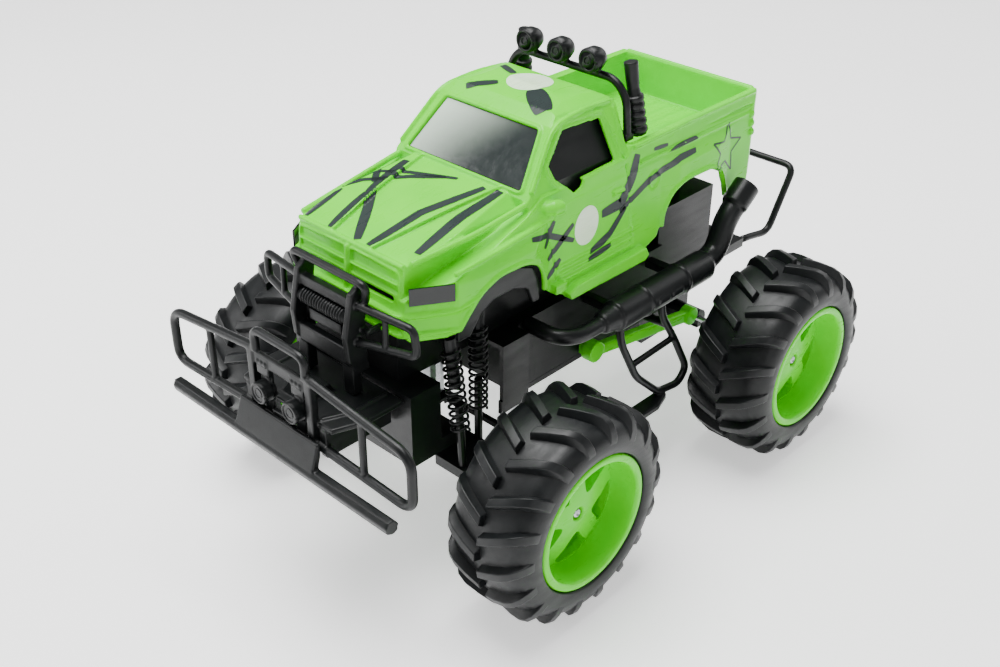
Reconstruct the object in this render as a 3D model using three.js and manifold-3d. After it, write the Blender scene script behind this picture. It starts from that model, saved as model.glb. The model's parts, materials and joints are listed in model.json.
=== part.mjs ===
// Remote control monster truck: a pickup body on a lifted chassis with four big chevron tyres.
// Millimetres, +Z up. The truck faces -Y, its left side is +X, and the origin is on the ground
// under the middle of its bounding box.
import * as THREE from "three";
import { mergeVertices } from "three/addons/utils/BufferGeometryUtils.js";
import Module from "manifold-3d";

const wasm = await Module();
wasm.setup();

// ---------------------------------------------------------------- driving dimensions
const GAP = 0.3; // clearance between neighbouring pieces
const WALL = 1.8; // moulded wall thickness
const TYRE_R = 60; // over the lugs
const TYRE_HALF_WIDTH = 26;
const WHEEL_X = 100.5; // centre of each tyre
const FRONT_AXLE_Y = -101.5;
const REAR_AXLE_Y = 93.5;
const RIM_R = 38; // where the tyre bead sits
const AXLE_R = 2;
const KINGPIN_X = 84;
const STEER_ARM = 15; // kingpin to tie rod pin, fore and aft
const GEAR_MODULE = 1.25;
const TEETH = { pinion: 8, idlerLarge: 20, idlerSmall: 8, axle: 24, steer: 10 };
const BODY_HALF_WIDTH = 50.5;
const FENDER_HALF_WIDTH = 54.5;
const BED_FLOOR_Z = 179;
const UPRIGHT_SHOCK_Y = FRONT_AXLE_Y + 5;
const MUFFLER = { x: 62, z: 115, r: 9, front: -24, rear: 66 };
const REAR_HOOP_Y = 198;

// ---------------------------------------------------------------- materials
const material = (color, roughness, metalness = 0) =>
  new THREE.MeshStandardMaterial({ color, roughness, metalness });
const green = material(0x7bea22, 0.35);
const black = material(0x1d2022, 0.55);
const rubber = material(0x24282a, 0.8);
const smoke = material(0x8f9694, 0.12);
const steel = material(0xb9bcbf, 0.3, 1);
const brass = material(0xd8d2c0, 0.5);
const lens = material(0x2b2f31, 0.2);
const boardGreen = material(0x1f6b3a, 0.6);

// ---------------------------------------------------------------- solids
function solid(geometry) {
  const plain = geometry.index ? geometry.toNonIndexed() : geometry.clone();
  for (const name of Object.keys(plain.attributes)) {
    if (name !== "position") plain.deleteAttribute(name);
  }
  const merged = mergeVertices(plain, 1e-4);
  const wrap = (triVerts) =>
    new wasm.Manifold(
      new wasm.Mesh({ numProp: 3, vertProperties: merged.attributes.position.array, triVerts }),
    );
  const made = wrap(new Uint32Array(merged.index.array));
  return made.volume() > 0 ? made : wrap(new Uint32Array(merged.index.array).reverse());
}

const group = new THREE.Group();

function node(name, made, mat) {
  const mesh = made.getMesh();
  const geometry = new THREE.BufferGeometry();
  geometry.setAttribute("position", new THREE.BufferAttribute(new Float32Array(mesh.vertProperties), 3));
  geometry.setIndex(new THREE.BufferAttribute(new Uint32Array(mesh.triVerts), 1));
  geometry.computeVertexNormals();
  const piece = new THREE.Mesh(geometry, mat);
  piece.name = name;
  group.add(piece);
  return piece;
}

const union = (...parts) => parts.reduce((sum, next) => sum.add(next));
const mirrorX = (made) => made.mirror([1, 0, 0]);

// A box from its lowest and highest corners.
function box([x0, y0, z0], [x1, y1, z1]) {
  const made = new THREE.BoxGeometry(x1 - x0, y1 - y0, z1 - z0);
  made.translate((x0 + x1) / 2, (y0 + y1) / 2, (z0 + z1) / 2);
  return solid(made);
}

// A box of a given size, turned about its own centre, then placed.
function turnedBox(size, at, turn) {
  const made = new THREE.BoxGeometry(...size);
  made.applyMatrix4(new THREE.Matrix4().makeRotationFromEuler(new THREE.Euler(...turn)));
  made.translate(...at);
  return solid(made);
}

function cylinder(r, from, to, sides = 16, rTop = r) {
  const a = new THREE.Vector3(...from);
  const b = new THREE.Vector3(...to);
  const made = new THREE.CylinderGeometry(rTop, r, a.distanceTo(b), sides);
  const turn = new THREE.Quaternion().setFromUnitVectors(
    new THREE.Vector3(0, 1, 0),
    b.clone().sub(a).normalize(),
  );
  made.applyQuaternion(turn);
  made.translate((a.x + b.x) / 2, (a.y + b.y) / 2, (a.z + b.z) / 2);
  return solid(made);
}

function shapeOf(points) {
  const outline = points.map(([u, v]) => new THREE.Vector2(u, v));
  if (THREE.ShapeUtils.isClockWise(outline)) outline.reverse();
  return new THREE.Shape(outline);
}

function extrude(points, depth) {
  return new THREE.ExtrudeGeometry(shapeOf(points), { depth, bevelEnabled: false });
}

// Side outline of (y, z) points, extruded from x0 to x1.
function alongX(points, x0, x1) {
  const made = extrude(points, x1 - x0);
  made.applyMatrix4(new THREE.Matrix4().set(0, 0, 1, x0, 1, 0, 0, 0, 0, 1, 0, 0, 0, 0, 0, 1));
  return solid(made);
}

// Front outline of (x, z) points, extruded from y0 to y1.
function alongY(points, y0, y1) {
  const made = extrude(points, y1 - y0);
  made.applyMatrix4(new THREE.Matrix4().set(1, 0, 0, 0, 0, 0, -1, y1, 0, 1, 0, 0, 0, 0, 0, 1));
  return solid(made);
}

// Plan outline of (x, y) points, extruded from z0 to z1.
function alongZ(points, z0, z1) {
  const made = extrude(points, z1 - z0);
  made.translate(0, 0, z0);
  return solid(made);
}

const bothSides = (points) => [...points, ...points.map(([x, v]) => [-x, v]).reverse()];

// A body of revolution about the X axis: profile of (radius, x) points, closed.
function turned(profile, sides, closed = true) {
  const points = profile.map(([r, x]) => new THREE.Vector2(r, x));
  if (closed) points.push(points[0].clone());
  const area = points.reduce((sum, p, i) => {
    const next = points[(i + 1) % points.length];
    return sum + p.x * next.y - next.x * p.y;
  }, 0);
  if (area < 0) points.reverse();
  const made = new THREE.LatheGeometry(points, sides);
  made.rotateZ(-Math.PI / 2);
  return solid(made);
}

// A chain of straight steps, for sweeping a section along.
class Route extends THREE.Curve {
  constructor(stops) {
    super();
    this.stops = stops;
  }

  getPoint(t) {
    const at = Math.min(t * (this.stops.length - 1), this.stops.length - 1.000001);
    const i = Math.floor(at);
    return this.stops[i].clone().lerp(this.stops[i + 1], at - i);
  }

  getPointAt(u) {
    const i = Math.round(u * (this.stops.length - 1));
    return this.stops[i].clone();
  }

  getTangentAt(u) {
    const i = Math.round(u * (this.stops.length - 1));
    const into = this.stops[i].clone().sub(this.stops[Math.max(i - 1, 0)]);
    const out = this.stops[Math.min(i + 1, this.stops.length - 1)].clone().sub(this.stops[i]);
    return into.normalize().add(out.normalize()).normalize();
  }
}

// A round bar along a route whose corners are rounded.
function tube(route, r, bend = 6, sides = 6) {
  const p = route.map((at) => new THREE.Vector3(...at));
  const stops = [p[0]];
  for (let i = 1; i < p.length - 1; i += 1) {
    const before = p[i].clone().add(p[i - 1].clone().sub(p[i]).setLength(bend));
    const after = p[i].clone().add(p[i + 1].clone().sub(p[i]).setLength(bend));
    const curve = new THREE.QuadraticBezierCurve3(before, p[i], after);
    stops.push(before, curve.getPoint(0.5), after);
  }
  stops.push(p[p.length - 1]);
  const section = [];
  for (let i = 0; i < sides; i += 1) {
    const angle = ((i + 0.5) / sides) * 2 * Math.PI;
    section.push([r * Math.cos(angle), r * Math.sin(angle)]);
  }
  return solid(
    new THREE.ExtrudeGeometry(shapeOf(section), {
      steps: stops.length - 1,
      extrudePath: new Route(stops),
      bevelEnabled: false,
    }),
  );
}

// A spur gear about +X, with thin straight-flanked teeth; `phase` is the angle of one tooth.
function gearOutline(teeth, phase) {
  const pitchR = (GEAR_MODULE * teeth) / 2;
  const pitch = (2 * Math.PI) / teeth;
  const flank = [
    [pitchR - 1.15 * GEAR_MODULE, -0.21],
    [pitchR + 0.75 * GEAR_MODULE, -0.09],
    [pitchR + 0.75 * GEAR_MODULE, 0.09],
    [pitchR - 1.15 * GEAR_MODULE, 0.21],
  ];
  const points = [];
  for (let i = 0; i < teeth; i += 1) {
    flank.forEach(([r, share]) => {
      const angle = phase + (i + share) * pitch;
      points.push([r * Math.cos(angle), r * Math.sin(angle)]);
    });
  }
  return points;
}

const placed = (made, x, y, z) => made.translate([x, y, z]);

// ---------------------------------------------------------------- pickup body
// The lower body as the intersection of its side, plan and front outlines, inset by t.
function lowerBody(t) {
  const roofLine = [
    [-145.5 + t, 170 - t], [-123, 177.5 - t], [-100, 183 - t], [-72, 190.5 - t], [-60, 197 - t],
    [6, 198 - t],
  ];
  const bedLine = t ? [[8, BED_FLOOR_Z - t], [127.5 - t, BED_FLOOR_Z - t]] : [[9, 203], [125, 203], [127.5, 200]];
  const underside = t
    ? [[127.5 - t, 100], [-145.5 + t, 100]]
    : [
        [126.5, 150], [123, 146], [99, 144], [96, 152], [90, 163], [80, 168], [56, 168.5], [46, 164],
        [40, 154], [35, 141], [20, 135.5], [-42, 135], [-56, 143], [-58, 155], [-64, 164], [-76, 168.5],
        [-96, 169], [-108, 164], [-116, 156], [-121, 150], [-128, 147.5], [-143, 147], [-146.5, 152],
        [-146.5, 160],
      ];
  const side = alongX([...roofLine, ...bedLine, ...underside], -60, 60);
  const plan = alongZ(
    bothSides([
      [40 - t, -148 + t], [41 - t, -144 + t], [54 - t, -123], [FENDER_HALF_WIDTH - t, -108],
      [FENDER_HALF_WIDTH - t, -70], [BODY_HALF_WIDTH - t, -56], [BODY_HALF_WIDTH - t, 36],
      [52.5 - t, 50], [52.5 - t, 86], [BODY_HALF_WIDTH - t, 100], [50 - t, 122], [47 - t, 128 - t],
    ]),
    90,
    210,
  );
  const front = alongY(
    bothSides([[52 - t, 90], [53 - t, 140], [55 - t, 150], [55 - t, 172], [52.5 - t, 180], [50 - t, 190], [48.5 - t, 204]]),
    -150,
    130,
  );
  return side.intersect(plan).intersect(front);
}

function hood(t) {
  const side = alongX(
    [[-144.5 + t, 160], [-142.8 + t, 184 - t], [-140, 186.5 - t], [-105, 193 - t], [-66, 198.5 - t], [-60, 198.5 - t], [-60, 160]],
    -60,
    60,
  );
  const plan = alongZ(bothSides([[38.5 - t, -146], [38.5 - t, -140], [43.5 - t, -66], [43.5 - t, -60]]), 150, 210);
  const front = alongY(bothSides([[45, 150], [44, 182], [40, 192 - t], [34, 198 - t], [0.01, 200 - t]]), -150, -58);
  return side.intersect(plan).intersect(front);
}

function cab(t) {
  const base = t ? 150 : 190;
  const side = alongX(
    [
      [-69 + t * 1.4, 197], [-43.5 + t, 225.5 - t], [-36, 229.8 - t], [-18, 231.8 - t], [0, 230.5 - t],
      [6 - t, 227 - t], [9 - t, base], [-69 + t * 1.4, base],
    ],
    -60,
    60,
  );
  const front = alongY(
    bothSides([[48.5 - t, base], [47.5 - t, 199], [39.5 - t, 224 - t], [36 - t, 229 - t], [28, 231.2 - t], [0.01, 232.5 - t]]),
    -80,
    20,
  );
  return side.intersect(front);
}

const sideWindow = [[-36, 222.5], [-7.5, 221], [-3, 198], [-28.5, 197], [-31, 193], [-36, 191.5], [-48, 202], [-50.5, 209]];
const SLOPE = Math.atan2(225.5 - 197, -43.5 + 69); // windshield, from the horizontal

function windscreenBlock(halfLow, halfHigh, low, high, thickness, lift) {
  const outline = [[-halfLow, low], [halfLow, low], [halfHigh, high], [-halfHigh, high]];
  const made = extrude(outline, thickness);
  made.translate(0, 0, lift);
  made.rotateX(SLOPE);
  made.translate(0, -69, 197);
  return solid(made);
}

function grilleSlots() {
  const slots = [];
  for (const side of [-1, 1]) {
    for (const z of [168.5, 174, 179.5]) {
      slots.push(turnedBox([29, 2.4, 3], [side * 18.5, -144.6, z], [0, 0, 0]));
    }
  }
  return union(...slots);
}

const HEADLIGHT = { at: [47.6, -134.4, 172.6], turn: Math.atan2(21, 13), size: [22, 9] };

function headlightBlock(length, height, thick, out) {
  const [x, y, z] = HEADLIGHT.at;
  const nx = Math.sin(HEADLIGHT.turn);
  const ny = -Math.cos(HEADLIGHT.turn);
  return turnedBox([length, thick, height], [x + nx * out, y + ny * out, z], [0, 0, HEADLIGHT.turn]);
}

function buildBody() {
  const outer = union(lowerBody(0), hood(0), cab(0));
  const inner = union(lowerBody(WALL), hood(WALL), cab(WALL));
  const bed = box([-45.5, 12, BED_FLOOR_Z], [45.5, 122, 210]);
  const cuts = union(
    inner,
    bed,
    alongX(sideWindow, -60, 60),
    windscreenBlock(40.5, 32.5, 3.5, 35.5, 12, -8),
    grilleSlots(),
  );
  const pocket = headlightBlock(HEADLIGHT.size[0] + 1, HEADLIGHT.size[1] + 1, 2.4, 0);
  const sill = alongX([[-42, 134], [-44, 138], [-38, 141], [20, 141.5], [23, 136], [20, 133.5]], 48.8, 55.5);
  const shell = outer.subtract(cuts).subtract(pocket).subtract(mirrorX(pocket));
  node("body_shell", union(shell, sill, mirrorX(sill)), green);

  node("windshield", windscreenBlock(40, 32, 4, 35, 1.2, -1.6), smoke);
  const headlight = headlightBlock(...HEADLIGHT.size, 1, 0.7);
  node("headlight_left", headlight, lens);
  node("headlight_right", mirrorX(headlight), lens);

  // a black moulding that backs the side windows and the windshield
  const insert = cab(WALL + 1.4).intersect(box([-60, -66, 184], [60, 4, 232]));
  node("cab_interior", insert.subtract(windscreenBlock(80, 80, -60, 90, 30, -3)), black);
}

// ---------------------------------------------------------------- things fixed to the body
function buildRoofBar() {
  const y = 12.6;
  const bar = tube([[-43, y, 205], [-41, y, 226], [-33, y, 234.5], [33, y, 234.5], [41, y, 226], [43, y, 205]], 2.2, 6);
  const feet = union(box([36.5, 9.5, 203.4], [45, 16.2, 207]), box([-45, 9.5, 203.4], [-36.5, 16.2, 207]));
  const posts = [-22, 0, 22].map((x) => cylinder(1.6, [x, y - 0.5, 235], [x, y - 1.5, 239.5], 8));
  node("roof_bar", union(bar, feet, ...posts), black);
  for (const [name, x] of [["left", 22], ["centre", 0], ["right", -22]]) {
    const shellOut = cylinder(6.5, [x, y - 9.5, 244], [x, y - 3.5, 244], 12);
    const back = cylinder(6.5, [x, y - 3.5, 244], [x, y + 2, 244], 12, 3);
    const face = cylinder(5.4, [x, y - 10, 244], [x, y - 7.5, 244], 12);
    const post = cylinder(2, [x, y - 0.5, 234], [x, y - 1.5, 239.9], 8);
    node("roof_lamp_" + name, union(shellOut, back).subtract(face).subtract(post), black);
  }
  for (const [name, side] of [["left", 1], ["right", -1]]) {
    const top = [side * 37, 19.5, 243.5];
    const knee = [side * 39.4, 20.5, 226];
    const pipe = union(
      cylinder(3.2, knee, top, 8, 3.8),
      cylinder(4.6, [side * 42, 23.5, 203.4], knee, 8, 3.4),
      cylinder(5, [side * 41.8, 23.2, 206], [side * 41.2, 22.7, 210], 8),
    );
    const bore = cylinder(2.4, [side * 37.3, 19.7, 238], [side * 37, 19.5, 244], 8);
    const barRoom = box([Math.min(side * 36, side * 48), 9, 203.2], [Math.max(side * 36, side * 48), 16.5, 240]);
    node("exhaust_stack_" + name, pipe.subtract(bore).subtract(barRoom), black);
  }
}

function buildBullBar() {
  const y = -157;
  const cheek = alongX([[-150.5, 172], [-154, 177], [-161, 172], [-166, 150], [-165, 136], [-158, 128], [-152, 128], [-154, 150]], 17.5, 21.5);
  const frame = union(
    cheek,
    mirrorX(cheek),
    box([-18, -161, 163], [18, -156, 169]),
    box([-18, -164, 133], [18, -159, 143]),
    box([-18, -157.5, 143], [18, -155.5, 164]),
    box([-9, -161, 147], [9, -156, 155]),
  );
  const top = tube([[-24, -155, 168], [-27.5, y, 178], [27.5, y, 178], [24, -155, 168]], 2.1, 5);
  const wing = union(
    tube([[20, -158, 166], [54.5, -152.5, 164], [55.5, -152, 149.5], [20, -159, 146]], 2.1, 4),
    cylinder(1.6, [38, -155.3, 165], [38, -155.8, 148], 8),
  );
  const legs = box([13, -163, 116.3], [21, -157, 134]);
  const drum = cylinder(4.2, [-17.3, -159.8, 158], [17.3, -159.8, 158], 10);
  const drumRoom = cylinder(5.2, [-17.5, -159.8, 158], [17.5, -159.8, 158], 12);
  const posts = union(box([24, -155, 150], [27, -147, 153.5]), box([-27, -155, 150], [-24, -147, 153.5]), box([19, -157, 150.5], [27, -153, 153]), box([-27, -157, 150.5], [-19, -153, 153]));
  const whole = union(frame, top, wing, mirrorX(wing), legs, mirrorX(legs), posts);
  node("bull_bar", whole.subtract(drumRoom), black);
  const ribs = [-10, 0, 10].map((x) => cylinder(4.5, [x - 0.8, -159.8, 158], [x + 0.8, -159.8, 158], 10));
  node("winch_drum", union(drum, ...ribs), black);
}

// ---------------------------------------------------------------- bumper and skid plate
function buildBumper() {
  const y = -189.5;
  const rail = tube(
    [[22, y, 139], [30, y, 138], [84, y, 131], [91, y, 125], [91, y, 105], [84, y, 101], [22, y, 104]],
    2.6,
    6,
  );
  const strut = cylinder(1.8, [58, y, 134], [58, y, 103], 8);
  const loop = tube([[19, y, 138], [19.5, y, 150], [-19.5, y, 150], [-19, y, 138]], 2.4, 5);
  const uprights = box([19.5, y - 2.5, 98], [24.5, y + 2.5, 141]);
  const panel = box([-20, y - 1.5, 131], [20, y + 1.5, 138.5]);
  const lower = box([-20, y - 2, 99], [20, y + 2, 105]);
  const ears = box([8, y, 104], [16, y + 2, 132]);
  const deck = alongZ(
    bothSides([[40, -147.4], [40, -172], [34, y + 1], [24, y + 1]]),
    113,
    116,
  );
  const ramp = alongX([[-184, 115.5], [-178, 121], [-168, 121], [-165, 115.5]], -9, 9);
  const arms = box([26, y, 98.2], [31, -148, 114]);
  const whole = union(rail, mirrorX(rail), strut, mirrorX(strut), loop, uprights, mirrorX(uprights), panel, lower, ears, mirrorX(ears), deck, ramp, arms, mirrorX(arms));
  const cups = [-12, 12].map((x) =>
    union(
      cylinder(6, [x, y - 6, 118.5], [x, y - 1, 118.5], 10),
      cylinder(6, [x, y - 1, 118.5], [x, y + 3, 118.5], 10, 3.5),
    ).subtract(cylinder(4.8, [x, y - 6.5, 118.5], [x, y - 4.5, 118.5], 10)),
  );
  node("front_bumper", union(whole, ...cups), black);
  // the skid plate: a rolled lower edge with a wide tray that slopes up to the bumper
  const tray = alongX([[-199.6, 92], [-196, 90], [-192.7, 102], [-192.5, 108.5], [-194.2, 108.5], [-199, 94.5]], -30.5, 30.5);
  const edge = alongX([[-200.2, 92], [-199.4, 88.6], [-196, 87], [-193, 88.6], [-192.4, 92], [-195, 95.2], [-198.6, 94.8]], -84, 84);
  node("skid_plate", union(tray, edge), black);
}

// ---------------------------------------------------------------- chassis
function buildChassis() {
  const tub = box([-36, -62, 78], [36, 62, 120]).subtract(box([-33.5, -59.5, 77], [33.5, 59.5, 117.5]));
  const frontBox = box([-44, -147, 76], [44, -62, 118]).subtract(box([-41.5, -144.5, 75], [41.5, -64, 115.5]));
  const bay = box([-46, -112, 75], [46, -83, 112]); // room for the axle to rock and steer
  const tower = box([-28, -140, 117], [28, 8, 147]);
  const towerRoom = box([-25.5, -137.5, 112], [25.5, 5.5, 144.5]);
  const rear = box([-34, 60, 98], [34, 112, 142]).subtract(box([-31.5, 64.5, 97], [31.5, 109.5, 139.5]));
  const tail = box([-36, 112, 86], [36, 150, 92]).add(box([-34, 108, 86], [34, 113, 104]));
  const cabPosts = [-1, 1].map((s) => box([s * 20 - 4, -50, 146], [s * 20 + 4, -42, 181]));
  const bedPosts = [-1, 1].map((s) => box([s * 20 - 4, 84, 141], [s * 20 + 4, 92, BED_FLOOR_Z - WALL - GAP]));
  const switchSlot = box([-5, 40, 116], [5, 46, 122]);
  const motorRoom = box([-27, 62.1, 90], [27, 86, 103]);
  const shockRoom = [-1, 1].map((s) => box([s * 41 - 14, -127, 84], [s * 41 + 14, -82, 120]));
  let whole = union(tub, frontBox).subtract(bay).subtract(union(...shockRoom));
  whole = union(whole, tower, rear, tail, ...cabPosts, ...bedPosts).subtract(switchSlot).subtract(motorRoom).subtract(towerRoom);
  const joins = box([-33.5, -66, 110], [33.5, -58, 118]);
  const uprightShocks = [-1, 1].map((s) =>
    union(
      cylinder(3.4, [s * 40, UPRIGHT_SHOCK_Y, 115], [s * 40, UPRIGHT_SHOCK_Y, 146], 12),
      box([Math.min(s * 27, s * 42), UPRIGHT_SHOCK_Y - 3, 140], [Math.max(s * 27, s * 42), UPRIGHT_SHOCK_Y + 3, 146.6]),
    ),
  );
  node("chassis", union(whole, joins, ...uprightShocks), black);

  const door = [[-24, -40], [24, -40], [24, 28], [-24, 28]];
  const belly = alongZ([[-36, -62], [36, -62], [36, 62], [-36, 62]], 74.5, 77.7).subtract(
    alongZ([[-24.6, -40.6], [24.6, -40.6], [24.6, 28.6], [-24.6, 28.6]], 74, 79),
  );
  node("belly_plate", belly, black);
  node("battery_door", union(alongZ(door, 75, 77.4), box([-6, 24, 73.6], [6, 27, 75.2])), black);

  // five AA cells side by side in a shrink-wrapped pack
  const cells = [-2, -1, 0, 1, 2].map((i) => cylinder(7.1, [-24.5, i * 13.6 - 6, 86], [24.5, i * 13.6 - 6, 86], 12));
  node("battery_pack", union(...cells, box([-22, -35, 84], [22, 23, 88])), brass);
  const board = union(
    box([-26, -45, 104], [26, 30, 105.6]),
    box([-14, -30, 105.5], [-2, -18, 108]),
    cylinder(4, [12, -20, 105.5], [12, -20, 113], 12),
    box([6, 4, 105.5], [18, 14, 110]),
  );
  node("circuit_board", board, boardGreen);
  const knob = union(box([-4, 41, 118], [2, 45, 123.5]), box([-6.5, 40.5, 114.5], [4.5, 45.5, 115.7]), box([-3, 42, 115.5], [1, 44, 118.5]));
  node("power_switch", knob, black);
}

function buildLiner() {
  // inner wheel arch: a roof with two side bands that follow the arch
  const band = [[-119, 146], [-113, 153], [-106, 161], [-95, 165.3], [-77, 165], [-66, 161], [-61, 150], [-61, 140], [-66, 140], [-70, 150], [-80, 154], [-94, 154], [-103, 150], [-111, 140], [-119, 140]];
  const side = alongX(band, 46.5, 49.5);
  const roof = box([-48, -104, 160.5], [48, -70, 163]);
  const brace = box([-30, -92, 147.3], [30, -84, 161]);
  node("wheel_arch_liner", union(side, mirrorX(side), roof, brace), black);
}

// ---------------------------------------------------------------- side exhausts, bars and links
function buildSides() {
  for (const [name, side] of [["left", 1], ["right", -1]]) {
    const { x, z, r, front, rear } = MUFFLER;
    const can = cylinder(r, [x, front + 8, z], [x, rear, z], 12);
    const bands = [8, 42].map((y) => cylinder(r + 0.7, [x, y, z], [x, y + 2, z], 12));
    const collar = cylinder(6.2, [x, front - 2, z], [x, front + 9, z], 12, 7.6);
    const header = tube([[36 + GAP, -56, 118], [56, -55, 117], [x, -44, z], [x, front, z]], 4.4, 9, 8);
    const tail = tube([[x, rear - 6, z], [x, 78, 119], [x, 86, 138], [x, 104, 152]], 7, 7, 8);
    const tip = cylinder(8, [x, 92, 143.5], [x, 104.5, 153], 10);
    const mouth = cylinder(5.6, [x, 96, 146.6], [x, 107, 155], 8);
    const brackets = [-8, 48].map((y) => box([36 + GAP, y - 3, z - 3], [x - 4, y + 3, z + 2]));
    const whole = union(can, ...bands, collar, header, tail, tip, ...brackets).subtract(mouth);
    node("side_exhaust_" + name, side > 0 ? whole : mirrorX(whole), black);

    const loop = tube(
      [[62.5, -9, 105], [64, -9, 96], [69, 0, 72], [70.5, 20, 53], [70.5, 40, 49.5], [69, 49, 56], [65, 40, 78], [62.5, 30, 96], [62, 29, 104]],
      2.3,
      5,
    );
    const cross = cylinder(1.9, [67.2, -1.5, 80], [65, 38, 79], 8);
    const stub = cylinder(2.6, [36 + GAP, 33.5, 88], [63.8, 33.5, 90], 8);
    const step = alongZ([[66, -20], [73, -24], [78, -18], [78, 12], [74, 24], [68, 26], [68, 0]], 47.5, 51.5)
      .subtract(cylinder(3, [72.5, -16, 46], [72.5, -16, 53], 10));
    const hanger = cylinder(2.2, [70.2, 22, 50], [70.5, 22, 53.5], 8);
    const bar = union(loop, cross, stub, step, hanger);
    node("side_bar_" + name, side > 0 ? bar : mirrorX(bar), black);

    const eye = (y, ez, er) => cylinder(er, [40, y, ez], [47, y, ez], 14);
    const rod = turnedBox([5, 92, 7], [43.5, 38, 74], [Math.atan2(-16, 92), 0, 0]);
    const link = union(rod, eye(-8, 82, 6.5), eye(84, 66, 6));
    const pegs = box([36 + GAP, -12, 79], [41, -4, 85]);
    node("link_bar_" + name, side > 0 ? union(link, pegs) : mirrorX(union(link, pegs)), green);
  }
  const hoop = tube(
    [[33, 150 + GAP, 89], [34, 163, 88], [36, 178, 86], [38, REAR_HOOP_Y, 127], [-38, REAR_HOOP_Y, 127], [-36, 178, 86], [-34, 163, 88], [-33, 150 + GAP, 89]],
    2.3,
    7,
  );
  node("rear_hoop", hoop, black);
}

// ---------------------------------------------------------------- drive train
const pitchRadius = (teeth) => (GEAR_MODULE * teeth) / 2;
const BACKLASH = 0.2; // added to each centre distance
const IDLER = { y: REAR_AXLE_Y - 13, z: 0 };
IDLER.z = 60 + Math.sqrt((pitchRadius(TEETH.axle) + pitchRadius(TEETH.idlerSmall) + BACKLASH) ** 2 - 13 ** 2);
const MOTOR = { y: IDLER.y - 6, z: 0 };
MOTOR.z = IDLER.z + Math.sqrt((pitchRadius(TEETH.pinion) + pitchRadius(TEETH.idlerLarge) + BACKLASH) ** 2 - 6 ** 2);

// A gear whose outline lies in the (y, z) plane, from x0 to x1, about (y, z).
function gearX(teeth, phase, x0, x1, y, z) {
  return alongX(gearOutline(teeth, phase).map(([a, b]) => [a + y, b + z]), x0, x1);
}

function buildDrive() {
  const toIdler = Math.atan2(IDLER.z - 60, IDLER.y - REAR_AXLE_Y);
  const toMotor = Math.atan2(MOTOR.z - IDLER.z, MOTOR.y - IDLER.y);
  const bore = (r, x0, x1, y, z) => cylinder(r, [x0, y, z], [x1, y, z], 16);

  const axleGear = union(gearX(TEETH.axle, toIdler, -2.5, 2.5, REAR_AXLE_Y, 60), bore(5, -6, 6, REAR_AXLE_Y, 60));
  node("axle_gear", axleGear.subtract(bore(AXLE_R + GAP, -7, 7, REAR_AXLE_Y, 60)), brass);
  node("rear_axle", bore(AXLE_R, -112, 112, REAR_AXLE_Y, 60), steel);

  const smallPhase = toIdler + Math.PI - Math.PI / TEETH.idlerSmall;
  const idler = union(
    gearX(TEETH.idlerSmall, smallPhase, -2.8, 3.4, IDLER.y, IDLER.z),
    gearX(TEETH.idlerLarge, toMotor, 3.3, 7, IDLER.y, IDLER.z),
    bore(1.6, -17.4, 17.4, IDLER.y, IDLER.z),
  );
  node("idler_gear", idler, brass);

  const pinionPhase = toMotor + Math.PI - Math.PI / TEETH.pinion;
  const pinion = union(gearX(TEETH.pinion, pinionPhase, 3.2, 7.4, MOTOR.y, MOTOR.z), bore(1, -1.5, 9.5, MOTOR.y, MOTOR.z));
  node("motor_pinion", pinion, brass);

  const can = bore(10, -26, -2.2, MOTOR.y, MOTOR.z).subtract(bore(1.4, -4.5, -1, MOTOR.y, MOTOR.z));
  node("drive_motor", can, steel);

  const side = [[70, 41], [112, 41], [117, 49], [117, 85.6], [64, 85.6], [64, 66]];
  const inner = [[71.5, 43], [111, 43], [115, 50], [115, 90], [66, 90], [66, 67]];
  const box1 = alongX(side, -20, 20).subtract(alongX(inner, -18, 18));
  const housing = box1
    .subtract(bore(AXLE_R + GAP, -30, 30, REAR_AXLE_Y, 60))
    .subtract(bore(1.9, -30, 30, IDLER.y, IDLER.z))
    .subtract(bore(10.4, -30, -1.6, MOTOR.y, MOTOR.z))
    .subtract(bore(10.4, 1.5, 30, MOTOR.y, MOTOR.z));
  const necks = [-1, 1].map((s) => {
    const from = s * 19.5;
    return bore(6, Math.min(from, s * 46), Math.max(from, s * 46), REAR_AXLE_Y, 60);
  });
  const axleHole = bore(AXLE_R + GAP, -50, 50, REAR_AXLE_Y, 60);
  const cavity = alongX(inner, -18, 18);
  const linkRoom = [-1, 1].map((s) => box([s * 43.5 - 4.1, 60, 55], [s * 43.5 + 4.1, 92, 80]));
  node("rear_gearbox", union(housing, ...necks.map((n) => n.subtract(cavity))).subtract(axleHole).subtract(union(...linkRoom)), black);
}

// ---------------------------------------------------------------- front axle and steering
const TIE_ROD_Y = FRONT_AXLE_Y + STEER_ARM;
const RACK_FACE = -3; // from the tie rod's centre line towards the pinion
const STEER_GEAR_Y = TIE_ROD_Y + RACK_FACE - pitchRadius(TEETH.steer) - BACKLASH;

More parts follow.
